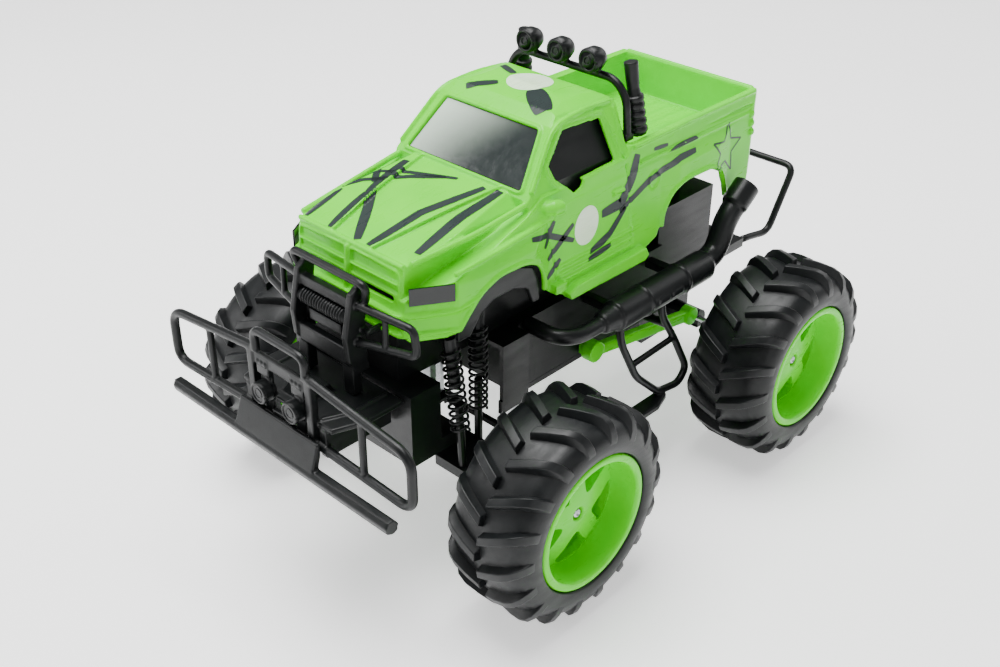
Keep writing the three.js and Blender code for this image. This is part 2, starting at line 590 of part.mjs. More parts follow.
function buildFrontAxle() {
  const y = FRONT_AXLE_Y;
  const yoke = (s) => {
    const span = (a, b) => [Math.min(s * a, s * b), Math.max(s * a, s * b)];
    const [x0, x1] = span(68, 88);
    const [w0, w1] = span(66, 71);
    return union(
      box([x0, y - 5, 73], [x1, y + 5, 76]),
      box([x0, y - 5, 44], [x1, y + 5, 47]),
      box([w0, y - 5, 44], [w1, y + 5, 76]),
    )
      .subtract(cylinder(2.8, [s * KINGPIN_X, y, 40], [s * KINGPIN_X, y, 80], 14));
  };
  const beam = box([-67, y - 6, 52], [67, y + 6, 66]);
  const shockPads = [-1, 1].map((s) =>
    union(
      box([s * 46 - 12, y - 21, 60], [s * 46 + 12, y - 4, 66]),
      cylinder(2.2, [s * 51, -119, 64], [s * 48.6, -119, 102], 10),
      cylinder(2.2, [s * 40, y + 5, 64], [s * 40, y + 5, 104], 10),
    ),
  );
  const pivot = cylinder(5, [0, -120, 74], [0, y - 5, 74], 14).add(box([-5, -120, 60], [5, y - 3, 74]));
  const motorCup = box([-14, y - 13, 77], [14, y + 11, 79]).subtract(cylinder(1.6, [0, STEER_GEAR_Y, 70], [0, STEER_GEAR_Y, 90], 12));
  const cupLegs = union(box([-14, y - 13, 64], [-11, y - 5.8, 78]), box([11, y - 13, 64], [14, y - 5.8, 78]));
  node("front_axle_beam", union(beam, yoke(1), yoke(-1), ...shockPads, pivot, motorCup, cupLegs), black);
  node("steering_motor", cylinder(9.5, [0, STEER_GEAR_Y, 79.4], [0, STEER_GEAR_Y, 99], 18).subtract(cylinder(1.6, [0, STEER_GEAR_Y, 79], [0, STEER_GEAR_Y, 84], 12)), steel);

  const gearPhase = Math.PI / 2 - Math.PI / TEETH.steer;
  const steerGear = alongZ(gearOutline(TEETH.steer, gearPhase).map(([a, b]) => [a, b + STEER_GEAR_Y]), 69, 74.5);
  node("steering_pinion", union(steerGear, cylinder(1.2, [0, STEER_GEAR_Y, 67], [0, STEER_GEAR_Y, 83.5], 10)), brass);

  // rack on the tie rod: straight teeth that face the pinion
  const pitch = Math.PI * GEAR_MODULE;
  const teeth = [];
  for (let i = -3; i <= 3; i += 1) {
    const x = i * pitch;
    const root = TIE_ROD_Y + RACK_FACE + 1.1 * GEAR_MODULE;
    const tip = TIE_ROD_Y + RACK_FACE - 0.75 * GEAR_MODULE;
    teeth.push(alongZ([[x - 0.8, root + 0.4], [x - 0.34, tip], [x + 0.34, tip], [x + 0.8, root + 0.4]], 69.6, 73.9));
  }
  const rackBody = box([-15, TIE_ROD_Y + RACK_FACE + 1.1 * GEAR_MODULE, 69], [15, TIE_ROD_Y + 2, 74.5]);
  const rod = box([-80, TIE_ROD_Y - 1.4, 70], [80, TIE_ROD_Y + 1.6, 73]);
  const ends = [-1, 1].map((s) =>
    box([s * KINGPIN_X - 5, TIE_ROD_Y - 5, 70], [s * KINGPIN_X + 5, TIE_ROD_Y + 5, 73]).subtract(
      alongZ([[s * KINGPIN_X - 2.4, TIE_ROD_Y - 3.4], [s * KINGPIN_X + 2.4, TIE_ROD_Y - 3.4], [s * KINGPIN_X + 2.4, TIE_ROD_Y + 3], [s * KINGPIN_X - 2.4, TIE_ROD_Y + 3]], 69, 74),
    ),
  );
  node("tie_rod", union(rackBody, rod, ...teeth, ...ends), black);

  for (const [name, s] of [["left", 1], ["right", -1]]) {
    const x = s * KINGPIN_X;
    const hub = union(
      cylinder(2.3, [x, y, 43.5], [x, y, 76.5], 14),
      box([x - 4.5, y - 4.5, 47.6], [x + 4.5, y + 4.5, 72.4]),
      cylinder(5, [x, y, 60], [x + s * 5.6, y, 60], 14),
      cylinder(AXLE_R, [x, y, 60], [s * 112, y, 60], 14),
      box([x - 2.5, y, 64], [x + 2.5, TIE_ROD_Y + 2, 68.6]),
      cylinder(1.7, [x, TIE_ROD_Y, 66], [x, TIE_ROD_Y, 74.8], 10),
    );
    node("steering_knuckle_" + name, hub, black);
  }

  // shock absorbers: upper bodies on the arch liner, with a coil round each
  for (const [name, s] of [["left", 1], ["right", -1]]) {
    const slanted = union(cylinder(3.4, [s * 46.2, -119, 113], [s * 42, -119, 139.5], 12), box([Math.min(s * 28.3, s * 43), -122, 137], [Math.max(s * 28.3, s * 43), -116, 142]));
    node("front_shock_" + name, slanted, black);
    const sleeve = (from, to) => cylinder(5.4, from, to, 14).subtract(cylinder(4, from, to, 14));
    node("front_spring_" + name, sleeve([s * 49.8, -119, 86], [s * 43.2, -119, 134]), steel);
    node("upright_spring_" + name, sleeve([s * 40, UPRIGHT_SHOCK_Y, 84], [s * 40, UPRIGHT_SHOCK_Y, 136]), steel);
  }
}

// ---------------------------------------------------------------- wheels
function rimSolid() {
  const profile = [
    [2.3, -10], [8, -10], [8, 9], [33, 9], [33, -25.5], [37.7, -25.5], [37.7, 24], [35.8, 24], [32, 13.4],
    [4.4, 13.4], [4.4, 11.2], [2.3, 11.2],
  ];
  let rim = turned(profile, 20);
  for (let i = 0; i < 5; i += 1) {
    const mid = (i + 0.5) * ((2 * Math.PI) / 5) + Math.PI / 2;
    const at = (r, a) => [r * Math.cos(mid + a), r * Math.sin(mid + a)];
    const hole = alongX([at(14, 0), at(29, 0.34), at(31.6, 0.2), at(31.6, -0.2), at(29, -0.34)], 7, 17);
    rim = rim.subtract(hole);
  }
  return rim;
}

function tyreSolid() {
  const profile = [
    [RIM_R, -24], [39, -TYRE_HALF_WIDTH], [49, -TYRE_HALF_WIDTH], [55.9, -17], [55.9, 17],
    [49, TYRE_HALF_WIDTH], [39, TYRE_HALF_WIDTH], [RIM_R, 24],
  ];
  let tyre = turned(profile, 28);
  const lugs = 14;
  for (let i = 0; i < lugs; i += 1) {
    for (const row of [-1, 1]) {
      const angle = ((i + (row > 0 ? 0 : 0.5)) / lugs) * 2 * Math.PI;
      const lug = new THREE.BoxGeometry(27, 4.4, 7.4);
      lug.rotateZ(row * 0.5);
      lug.translate(row * 11, 0, TYRE_R - 4.08);
      lug.rotateX(angle);
      tyre = tyre.add(solid(lug));
    }
  }
  return tyre;
}

function buildWheels() {
  const rim = rimSolid();
  const tyre = tyreSolid();
  for (const [end, y] of [["front", FRONT_AXLE_Y], ["rear", REAR_AXLE_Y]]) {
    for (const [side, s] of [["left", 1], ["right", -1]]) {
      const place = (made) => placed(s > 0 ? made : mirrorX(made), s * WHEEL_X, y, 60);
      node(`tyre_${end}_${side}`, place(tyre), rubber);
      node(`rim_${end}_${side}`, place(rim), green);
      const head = cylinder(2.7, [12, 0, 0], [13.9, 0, 0], 12);
      node(`wheel_screw_${end}_${side}`, place(head), steel);
    }
  }
}

buildBody();
buildRoofBar();
buildBullBar();
buildBumper();
buildChassis();
buildLiner();
buildSides();
buildDrive();
buildFrontAxle();
buildWheels();

export default group;
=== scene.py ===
"""Remote control monster truck: the visual model, built round the CAD frame in metres."""
import bpy
import bmesh
import json
import math
from mathutils import Matrix, Vector
from mathutils.bvhtree import BVHTree


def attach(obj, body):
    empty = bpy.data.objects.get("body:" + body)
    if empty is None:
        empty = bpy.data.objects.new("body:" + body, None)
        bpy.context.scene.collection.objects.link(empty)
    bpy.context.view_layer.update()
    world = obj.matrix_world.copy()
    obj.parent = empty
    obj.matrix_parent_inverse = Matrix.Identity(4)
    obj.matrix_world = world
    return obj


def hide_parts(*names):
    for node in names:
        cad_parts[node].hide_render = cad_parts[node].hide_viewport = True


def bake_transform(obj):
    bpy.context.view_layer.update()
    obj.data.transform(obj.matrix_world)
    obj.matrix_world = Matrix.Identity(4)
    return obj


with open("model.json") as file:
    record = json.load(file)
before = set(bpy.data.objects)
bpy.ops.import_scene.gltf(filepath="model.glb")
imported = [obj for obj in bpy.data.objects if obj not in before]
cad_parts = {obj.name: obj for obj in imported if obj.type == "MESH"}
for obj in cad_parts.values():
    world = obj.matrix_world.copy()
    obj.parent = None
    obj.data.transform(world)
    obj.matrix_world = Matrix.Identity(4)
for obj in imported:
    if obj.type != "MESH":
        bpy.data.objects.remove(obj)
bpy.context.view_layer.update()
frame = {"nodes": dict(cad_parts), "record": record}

MM = 0.001
FRONT_AXLE_Y = -101.5
REAR_AXLE_Y = 93.5
WHEEL_X = 100.5
TYRE_R = 60.0
SIDES = (("left", 1), ("right", -1))
ENDS = (("front", FRONT_AXLE_Y), ("rear", REAR_AXLE_Y))


# ------------------------------------------------------------------ materials
def srgb(r, g, b):
    """Linear colour from 0 to 255 screen values."""
    out = [((c / 255 + 0.055) / 1.055) ** 2.4 if c > 10 else c / 255 / 12.92 for c in (r, g, b)]
    return (*out, 1.0)


class Nodes:
    """A small helper that wires shader nodes together."""

    def __init__(self, name):
        self.material = bpy.data.materials.new(name)
        self.material.use_nodes = True
        self.tree = self.material.node_tree
        self.bsdf = self.tree.nodes["Principled BSDF"]
        self.coords = self.tree.nodes.new("ShaderNodeTexCoord").outputs["Object"]

    def link(self, source, target):
        self.tree.links.new(source, target)

    def noise(self, scale, detail=3.0, rough=0.55, stretch=None):
        node = self.tree.nodes.new("ShaderNodeTexNoise")
        node.inputs["Scale"].default_value = scale
        node.inputs["Detail"].default_value = detail
        node.inputs["Roughness"].default_value = rough
        source = self.coords
        if stretch:
            mapping = self.tree.nodes.new("ShaderNodeMapping")
            mapping.inputs["Scale"].default_value = stretch
            self.link(source, mapping.inputs["Vector"])
            source = mapping.outputs["Vector"]
        self.link(source, node.inputs["Vector"])
        return node.outputs["Fac"]

    def ramp(self, source, low, high, at=(0.35, 0.65)):
        node = self.tree.nodes.new("ShaderNodeMapRange")
        node.inputs["From Min"].default_value = at[0]
        node.inputs["From Max"].default_value = at[1]
        node.inputs["To Min"].default_value = low
        node.inputs["To Max"].default_value = high
        self.link(source, node.inputs["Value"])
        return node.outputs["Result"]

    def mix(self, factor, a, b):
        node = self.tree.nodes.new("ShaderNodeMix")
        node.data_type = "RGBA"
        self.link(factor, node.inputs["Factor"])
        node.inputs["A"].default_value = a
        node.inputs["B"].default_value = b
        return node.outputs["Result"]

    def bump(self, height, distance, strength=1.0, after=None):
        node = self.tree.nodes.new("ShaderNodeBump")
        node.inputs["Distance"].default_value = distance
        node.inputs["Strength"].default_value = strength
        self.link(height, node.inputs["Height"])
        if after:
            self.link(after, node.inputs["Normal"])
        return node.outputs["Normal"]


def surface(name, light, dark, rough, grain, distance, metallic=0.0, coat=0.0, specular=0.5):
    """A moulded or rolled surface: faint colour drift, fine grain, handling marks in the gloss."""
    n = Nodes(name)
    drift = n.ramp(n.noise(35, 2), 0.0, 1.0, (0.3, 0.7))
    n.link(n.mix(drift, dark, light), n.bsdf.inputs["Base Color"])
    marks = n.ramp(n.noise(260, 4, 0.6, (1.0, 0.15, 1.0)), rough[0], rough[1], (0.35, 0.7))
    n.link(marks, n.bsdf.inputs["Roughness"])
    fine = n.bump(n.noise(grain, 3, 0.6), distance)
    broad = n.bump(n.noise(90, 2), distance * 1.5, 0.35, fine)
    n.link(broad, n.bsdf.inputs["Normal"])
    n.bsdf.inputs["Metallic"].default_value = metallic
    n.bsdf.inputs["Coat Weight"].default_value = coat
    n.bsdf.inputs["Coat Roughness"].default_value = 0.12
    n.bsdf.inputs["Specular IOR Level"].default_value = specular
    return n.material


GREEN = surface(
    "lime_plastic", srgb(92, 222, 0), srgb(82, 212, 0), (0.26, 0.38), 1500, 0.00002, specular=0.22
)
BLACK = surface("black_plastic", srgb(14, 17, 17), srgb(8, 10, 11), (0.3, 0.44), 1800, 0.00004, specular=0.28)
RUBBER = surface("tyre_rubber", srgb(15, 18, 19), srgb(9, 11, 12), (0.34, 0.5), 1300, 0.00005, specular=0.3)
STEEL = surface(
    "zinc_steel", srgb(190, 192, 195), srgb(165, 168, 172), (0.25, 0.42), 2200, 0.00002, metallic=1.0
)
BRASS = surface(
    "turned_brass", srgb(205, 170, 96), srgb(188, 150, 80), (0.25, 0.4), 2200, 0.00002, metallic=1.0
)
NYLON = surface("natural_nylon", srgb(226, 222, 208), srgb(214, 209, 192), (0.4, 0.55), 1600, 0.00002)
WRAP = surface("battery_wrap", srgb(40, 90, 160), srgb(32, 76, 140), (0.2, 0.32), 900, 0.00004)
BOARD = surface("board_mask", srgb(32, 104, 58), srgb(26, 88, 48), (0.25, 0.4), 900, 0.00003)
INK = surface("decal_ink", srgb(34, 46, 44), srgb(26, 36, 35), (0.26, 0.38), 1500, 0.00002, specular=0.3)
PALE = surface("decal_pale", srgb(226, 246, 218), srgb(206, 238, 190), (0.22, 0.34), 1500, 0.00002, coat=0.35)
LENS = surface("dark_lens", srgb(20, 24, 24), srgb(12, 14, 14), (0.12, 0.22), 600, 0.00002, specular=0.4)
# Smoked window plastic; its base colour is replaced below by a gradient that paints a reflection towards the upper
# right.
SMOKED_GLASS_AND_REFLECTION = surface("smoked_window", srgb(66, 74, 75), srgb(50, 56, 57), (0.1, 0.2), 500, 0.00002, specular=0.5)



def paint_window_reflection():
    """Painted reflection: the window's base colour is darkest low on the left and turns pale towards the upper right
    corner, a bright reflection painted into the colour over the smoked tint.
    """
    tree = SMOKED_GLASS_AND_REFLECTION.node_tree
    coords = tree.nodes.new("ShaderNodeTexCoord")
    along = tree.nodes.new("ShaderNodeVectorMath")
    along.operation = "DOT_PRODUCT"
    along.inputs[1].default_value = (-0.75, 0.3, 0.65)
    tree.links.new(coords.outputs["Object"], along.inputs[0])
    spread = tree.nodes.new("ShaderNodeMapRange")
    spread.inputs["From Min"].default_value = 0.108
    spread.inputs["From Max"].default_value = 0.165
    spread.interpolation_type = "SMOOTHSTEP"
    tree.links.new(along.outputs["Value"], spread.inputs["Value"])
    # Painted reflection: the dark smoked tone low on the left blends into a pale painted reflection at the upper right.
    tone = tree.nodes.new("ShaderNodeMix")
    tone.data_type = "RGBA"
    tone.inputs["A"].default_value = srgb(36, 42, 42)
    tone.inputs["B"].default_value = srgb(206, 222, 206)
    tree.links.new(spread.outputs["Result"], tone.inputs["Factor"])
    tree.links.new(tone.outputs["Result"], tree.nodes["Principled BSDF"].inputs["Base Color"])


# Paints the window reflection into the smoked window's base colour.
paint_window_reflection()

MATERIALS = {
    "green_plastic": GREEN,
    "black_plastic": BLACK,
    "tyre": RUBBER,
    "smoked_window": SMOKED_GLASS_AND_REFLECTION,
    "lamp_lens": LENS,
    "steel": STEEL,
    "brass": BRASS,
    "nylon_gear": NYLON,
    "battery_wrap": WRAP,
    "board": BOARD,
}
SLOT_OF = {part["node"]: part["material_slot"] for part in frame["record"]["subparts"]}


def body_of(node):
    """The CAD body that a node belongs to."""
    for body, nodes in frame["record"]["behaviour"]["bodies"].items():
        if node in nodes:
            return body
    raise KeyError(node)


def dress(obj, material):
    obj.data.materials.clear()
    obj.data.materials.append(material)


def soften(obj, width, angle=35):
    """Rounds the sharp edges of a moulded piece and keeps its flats flat."""
    bevel = obj.modifiers.new("edge_radius", "BEVEL")
    bevel.width = width * MM
    bevel.segments = 2
    bevel.limit_method = "ANGLE"
    bevel.angle_limit = math.radians(angle)
    bevel.harden_normals = False
    normals = obj.modifiers.new("flat_normals", "WEIGHTED_NORMAL")
    normals.keep_sharp = False
    for face in obj.data.polygons:
        face.use_smooth = True


for node_name, cad in frame["nodes"].items():
    dress(cad, MATERIALS[SLOT_OF[node_name]])
    soften(cad, 0.3)


# ------------------------------------------------------------------ mesh pieces, in millimetres
class Shape:
    """Closed solids gathered into one mesh."""

    def __init__(self):
        self.verts = []
        self.faces = []

    def rings(self, rings, closed=False):
        """Skins a list of rings of points, capped at both ends unless closed on itself."""
        base = len(self.verts)
        n = len(rings[0])
        for ring in rings:
            self.verts.extend(Vector(p) for p in ring)
        count = len(rings)
        for i in range(count if closed else count - 1):
            j = (i + 1) % count
            for k in range(n):
                m = (k + 1) % n
                self.faces.append((base + i * n + k, base + i * n + m, base + j * n + m, base + j * n + k))
        if not closed:
            self.faces.append(tuple(base + k for k in reversed(range(n))))
            self.faces.append(tuple(base + (count - 1) * n + k for k in range(n)))
        return self

    def box(self, lo, hi):
        x0, y0, z0 = lo
        x1, y1, z1 = hi
        return self.rings(
            [[(x0, y0, z), (x1, y0, z), (x1, y1, z), (x0, y1, z)] for z in (z0, z1)]
        )

    def prism(self, points, axis, lo, hi):
        """An outline in the plane across an axis, between two places on it."""
        def place(u, v, w):
            return {"x": (w, u, v), "y": (u, w, v), "z": (u, v, w)}[axis]
        return self.rings([[place(u, v, w) for u, v in points] for w in (lo, hi)])

    def cone(self, start, end, r0, r1=None, sides=32):
        return self.sweep([start, end], [r0, r0 if r1 is None else r1], sides=sides)

    def sweep(self, stops, radii, sides=16):
        """A round section along a chain of points, with a radius at each."""
        p = [Vector(s) for s in stops]
        if not isinstance(radii, (list, tuple)):
            radii = [radii] * len(p)
        tangents = []
        for i in range(len(p)):
            into = (p[i] - p[max(i - 1, 0)]).normalized()
            out = (p[min(i + 1, len(p) - 1)] - p[i]).normalized()
            tangents.append((into + out).normalized())
        side = tangents[0].orthogonal().normalized()
        rings = []
        for i, (at, t, r) in enumerate(zip(p, tangents, radii)):
            side = (side - t * side.dot(t)).normalized()
            up = t.cross(side)
            ring = []
            for k in range(sides):
                a = 2 * math.pi * k / sides
                ring.append(at + (side * math.cos(a) + up * math.sin(a)) * r)
            rings.append(ring)
        return self.rings(rings)

    def tube(self, route, r, bend=6, sides=16, steps=6):
        """A bar along a route whose corners are rounded."""
        return self.sweep(rounded(route, bend, steps), r, sides)

    def lathe(self, profile, centre, sides=96):
        """A closed profile of (radius, x) turned about the X axis."""
        cx, cy, cz = centre
        rings = []
        for i in range(sides):
            a = 2 * math.pi * i / sides
            rings.append([(cx + x, cy + r * math.cos(a), cz + r * math.sin(a)) for r, x in profile])
        return self.rings(rings, closed=True)

    def add(self, other, mirror=False):
        base = len(self.verts)
        sign = -1 if mirror else 1
        self.verts.extend(Vector((v.x * sign, v.y, v.z)) for v in other.verts)
        self.faces.extend(tuple(base + i for i in (reversed(f) if mirror else f)) for f in other.faces)
        return self

    def both(self, other):
        return self.add(other).add(other, mirror=True)

    def mesh(self, name):
        data = bpy.data.meshes.new(name)
        data.from_pydata([v * MM for v in self.verts], [], self.faces)
        work = bmesh.new()
        work.from_mesh(data)
        bmesh.ops.recalc_face_normals(work, faces=work.faces)
        work.to_mesh(data)
        work.free()
        data.update()
        for face in data.polygons:
            face.use_smooth = True
        return data


def rounded(route, bend, steps=6):
    p = [Vector(at) for at in route]
    stops = [p[0]]
    for i in range(1, len(p) - 1):
        back = p[i - 1] - p[i]
        ahead = p[i + 1] - p[i]
        a = p[i] + back.normalized() * min(bend, back.length * 0.49)
        b = p[i] + ahead.normalized() * min(bend, ahead.length * 0.49)
        for k in range(steps + 1):
            t = k / steps
            stops.append(a * (1 - t) ** 2 + p[i] * 2 * t * (1 - t) + b * t * t)
    stops.append(p[-1])
    return stops


def piece(name, shape, material, body, replaces=(), fuse=None, bevel=None, smooth=4):
    """Makes a mesh piece that rides on a body. fuse is the grid, in mm, that melts its solids into one."""
    data = shape.mesh(name)
    obj = bpy.data.objects.new(name, data)
    bpy.context.scene.collection.objects.link(obj)
    dress(obj, material)
    if fuse:
        melt(obj, fuse, smooth)
    if bevel:
        soften(obj, bevel)
    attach(obj, body)
    if replaces:
        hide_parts(*replaces)
    return obj


def melt(obj, grid, smooth=4):
    remesh = obj.modifiers.new("melt", "REMESH")
    remesh.mode = "VOXEL"
    remesh.voxel_size = grid * MM
    remesh.use_smooth_shade = True
    relax = obj.modifiers.new("relax", "SMOOTH")
    relax.factor = 0.5
    relax.iterations = smooth


# ------------------------------------------------------------------ tyres and rims
LUGS = 18
LUG_STATIONS = (
    # across the tyre from its middle, foot radius, tip radius
    (0.4, 53.5, 59.4),
    (8.0, 53.5, 59.6),
    (15.5, 53.0, 59.3),
    (20.0, 51.5, 57.8),
    (23.2, 48.5, 54.6),
    (25.2, 44.5, 50.2),
    (25.9, 42.5, 46.4),
)


def lug(row, angle, lean):
    """One tread bar: from the middle of the tyre, over the shoulder and a little down the wall."""
    rings = []
    for x, foot, tip in LUG_STATIONS:
        turn = angle + lean * x / TYRE_R
        foot_half = 4.1 / foot
        tip_half = 2.35 / tip
        ring = []
        for r, a in ((foot, -foot_half), (tip, -tip_half), (tip, tip_half), (foot, foot_half)):
            reach = x if r == tip else x - 0.4
            ring.append((row * reach, r * math.sin(turn + a), r * math.cos(turn + a)))
        rings.append(ring)
    return Shape().rings(rings)


def tyre_shape():
    carcass = [
        (38.0, -23.6), (38.6, -25.0), (40.5, -25.8), (43.0, -26.0), (46.5, -25.6), (50.0, -23.8), (52.8, -20.6),
        (54.3, -16.0), (55.1, -8.0), (55.3, 0.0), (55.1, 8.0), (54.3, 16.0), (52.8, 20.6), (50.0, 23.8),
        (46.5, 25.6), (43.0, 26.0), (40.5, 25.8), (38.6, 25.0), (38.0, 23.6),
    ]
    shape = Shape().lathe(carcass, (0, 0, 0), 128)
    for x in (24.9, -24.9):
        side = 1 if x > 0 else -1
        ring = [
            (41.6, x + 0.5 * side), (42.4, x + 1.1 * side), (43.2, x + 0.5 * side), (42.4, x - 0.3 * side),
        ]
        shape.lathe(ring, (0, 0, 0), 96)
    for i in range(LUGS):
        for row in (-1, 1):
            angle = (i + (0.0 if row > 0 else 0.5)) * 2 * math.pi / LUGS
            shape.add(lug(row, angle, 0.5))
    return shape


def rim_shape():
    profile = [
        (31.4, -24.6), (32.2, -25.4), (36.9, -25.4), (37.7, -24.8), (37.7, 23.4), (37.3, 24.5), (36.6, 24.9),
        (34.2, 24.9), (33.4, 24.4), (33.0, 23.0), (32.8, 18.0), (32.4, 12.0), (31.7, 9.6), (31.4, 8.4), (31.4, 4.4),
    ]
    return Shape().lathe(profile, (0, 0, 0), 128)


def spoke_windows():
    """The five windows between the spokes, as (radius, angle) outlines."""
    points = []
    for i in range(5):
        mid = (i + 0.5) * 2 * math.pi / 5 + math.pi / 2
        window = [
            (11.6, 0.0), (13.2, 0.16), (16.0, 0.25), (22.0, 0.34), (27.6, 0.42), (29.8, 0.37), (30.8, 0.22),
        ]
        points.append([(r, mid + a) for r, a in window] + [(r, mid - a) for r, a in reversed(window[1:])])
    return points


def window_cutter(points, lo, hi):
    shape = Shape()
    outline = [(r * math.cos(a), r * math.sin(a)) for r, a in points]
    return shape.prism(outline, "x", lo, hi)


def mirror_mesh(shape, sign):
    return shape if sign > 0 else Shape().add(shape, mirror=True)


def moved(shape, offset):
    out = Shape()
    out.verts = [v + Vector(offset) for v in shape.verts]
    out.faces = list(shape.faces)
    return out


def boolean(obj, cutter_shape, name):
    cutter = bpy.data.objects.new(name, cutter_shape.mesh(name))
    bpy.context.scene.collection.objects.link(cutter)
    cut = obj.modifiers.new(name, "BOOLEAN")
    cut.operation = "DIFFERENCE"
    cut.solver = "EXACT"
    cut.object = cutter
    bpy.context.view_layer.update()
    done = bpy.data.meshes.new_from_object(obj.evaluated_get(bpy.context.evaluated_depsgraph_get()))
    obj.modifiers.remove(cut)
    old = obj.data
    obj.data = done
    bpy.data.meshes.remove(old)
    bpy.data.objects.remove(cutter, do_unlink=True)


def build_face():
    """The cast face of a wheel, made once and shared by the four."""
    disc = Shape().lathe(
        [(2.3, 6.0), (31.8, 4.6), (31.8, 8.6), (27.0, 10.0), (20.0, 11.8), (13.0, 13.2), (8.0, 13.9), (4.4, 14.1),
         (3.6, 13.6), (3.3, 11.2), (2.3, 11.2)],
        (0, 0, 0),
        128,
    )
    obj = bpy.data.objects.new("wheel_face_master", disc.mesh("wheel_face_master"))
    bpy.context.scene.collection.objects.link(obj)
    cutters = Shape()
    for points in spoke_windows():
        cutters.add(window_cutter(points, 3, 18))
    boolean(obj, cutters, "face_windows")
    return obj


face_master = build_face()
face_data = face_master.data


def face_piece(name, sign, centre, body):
    data = face_data.copy()
    turn = Matrix.Diagonal((sign * 1.0, 1.0, 1.0, 1.0))
    data.transform(Matrix.Translation(Vector(centre) * MM) @ turn)
    if sign < 0:
        data.flip_normals()
    data.name = name
    obj = bpy.data.objects.new(name, data)
    bpy.context.scene.collection.objects.link(obj)
    dress(obj, GREEN)
    soften(obj, 0.7, 30)
    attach(obj, body)
    return obj


SCREW_HEAD = [(0.01, 11.4), (2.6, 11.4), (2.7, 12.4), (2.3, 13.3), (1.2, 13.8), (1.1, 12.9), (0.01, 12.9)]
tyre = tyre_shape()
rim = rim_shape()
for end, axle_y in ENDS:
    for side, sign in SIDES:
        centre = (sign * WHEEL_X, axle_y, TYRE_R)
        body = body_of(f"tyre_{end}_{side}")
        piece(
            f"tread_{end}_{side}", moved(mirror_mesh(tyre, sign), centre), RUBBER, body,
            (f"tyre_{end}_{side}",), bevel=0.5,
        )
        piece(
            f"wheel_barrel_{end}_{side}", moved(mirror_mesh(rim, sign), centre), GREEN, body,
            (f"rim_{end}_{side}",),
        )
        face_piece(f"wheel_face_{end}_{side}", sign, centre, body)
        head = Shape()
        head.lathe(SCREW_HEAD, (0, 0, 0), 32)
        piece(
            f"wheel_screw_head_{end}_{side}", moved(mirror_mesh(head, sign), centre), STEEL, body,
            (f"wheel_screw_{end}_{side}",),
        )
bpy.data.objects.remove(face_master, do_unlink=True)


# ------------------------------------------------------------------ springs
DAMPER_Y = -119
UPRIGHT_X, UPRIGHT_Y = 40, FRONT_AXLE_Y + 5
COIL_R, COIL_WIRE = 4.6, 0.75


def coil(start, end, radius, wire, turns, name, node):
    """A wound spring swept from its foot to its top; it stays fixed in place and is not attached to a body."""
    a, b = Vector(start), Vector(end)
    axis = (b - a).normalized()
    side = axis.orthogonal().normalized()
    up = axis.cross(side)
    stops = []
    count = int(turns * 20)
    for i in range(count + 1):
        t = i / count
        angle = 2 * math.pi * turns * t
        stops.append(a + (b - a) * t + (side * math.cos(angle) + up * math.sin(angle)) * radius)
    obj = bpy.data.objects.new(name, Shape().sweep(stops, wire, 8).mesh(name))
    bpy.context.scene.collection.objects.link(obj)
    dress(obj, BLACK)
    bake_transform(obj)
    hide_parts(node)


for side, sign in SIDES:
    coil(
        (sign * 49.8, DAMPER_Y, 87), (sign * 43.2, DAMPER_Y, 133.4), COIL_R, COIL_WIRE, 11,
        f"damper_coil_{side}", f"front_spring_{side}",
    )
    coil(
        (sign * UPRIGHT_X, UPRIGHT_Y, 85), (sign * UPRIGHT_X, UPRIGHT_Y, 135.4), COIL_R, COIL_WIRE, 12,
        f"upright_coil_{side}", f"upright_spring_{side}",
    )


# ------------------------------------------------------------------ tube work and exhausts
BUMPER_LAMP_Z = 118.5
ROOF_LAMP_Z = 244


def facing_circle(x, y, z, r, count):
    """A closed circle of points that faces fore and aft."""
    turns = [2 * math.pi * k / count for k in range(count + 1)]
    return [(x + r * math.cos(a), y, z + r * math.sin(a)) for a in turns]


def bumper_shape():
    y = -189.5
    half = Shape()
    half.tube(
        [(22, y, 139), (30, y, 138), (85.5, y, 131.4), (91, y, 126), (91, y, 104.5), (86, y, 101), (22, y, 104)],
        2.5, 4.5,
    )
    half.cone((58, y, 134), (58, y, 103), 1.9)
    half.box((19.7, y - 2.2, 98.4), (24.3, y + 2.2, 140.6))
    half.box((8.4, y, 104), (15.6, y + 1.8, 131.5))
    half.box((26.2, y, 98.4), (30.8, -148.3, 113.8))
    half.cone((12, y - 6, BUMPER_LAMP_Z), (12, y - 1, BUMPER_LAMP_Z), 5.9)
    half.cone((12, y - 1, BUMPER_LAMP_Z), (12, y + 2.8, BUMPER_LAMP_Z), 5.9, 3.5)
    shape = Shape().both(half)
    shape.tube([(19, y, 138), (19.5, y, 150), (-19.5, y, 150), (-19, y, 138)], 2.3)
    shape.box((-20, y - 1.3, 131.2), (20, y + 1.3, 138.3))
    shape.box((-20, y - 1.8, 99.2), (20, y + 1.8, 104.8))
    deck = [
        (40, -147.6), (40, -172), (34, y + 1), (24, y + 1), (-24, y + 1), (-34, y + 1), (-40, -172), (-40, -147.6),
    ]
    shape.prism(deck, "z", 113.2, 115.9)
    shape.prism([(-184, 115.5), (-178, 120.8), (-168, 120.8), (-165, 115.5)], "x", -9, 9)
    for x in (-30, 30):
        shape.tube([(x, -150, 116), (x, -172, 116), (x * 0.8, -186, 116)], 1.1, 4, 8)
    for x in (-13.2, 13.2):
        shape.box((x - 4.6, y - 1.6, 126.5), (x + 4.6, y + 1.6, 136.5))
        for k in (-1, 0, 1):
            shape.cone((x + 2.9 * k, y - 2.4, 133.4), (x + 2.9 * k, y, 133.4), 1.15, sides=12)
    for z in (107.5, 109.8):
        shape.box((-7, y - 2.6, z - 0.55), (7, y, z + 0.55))
    return shape


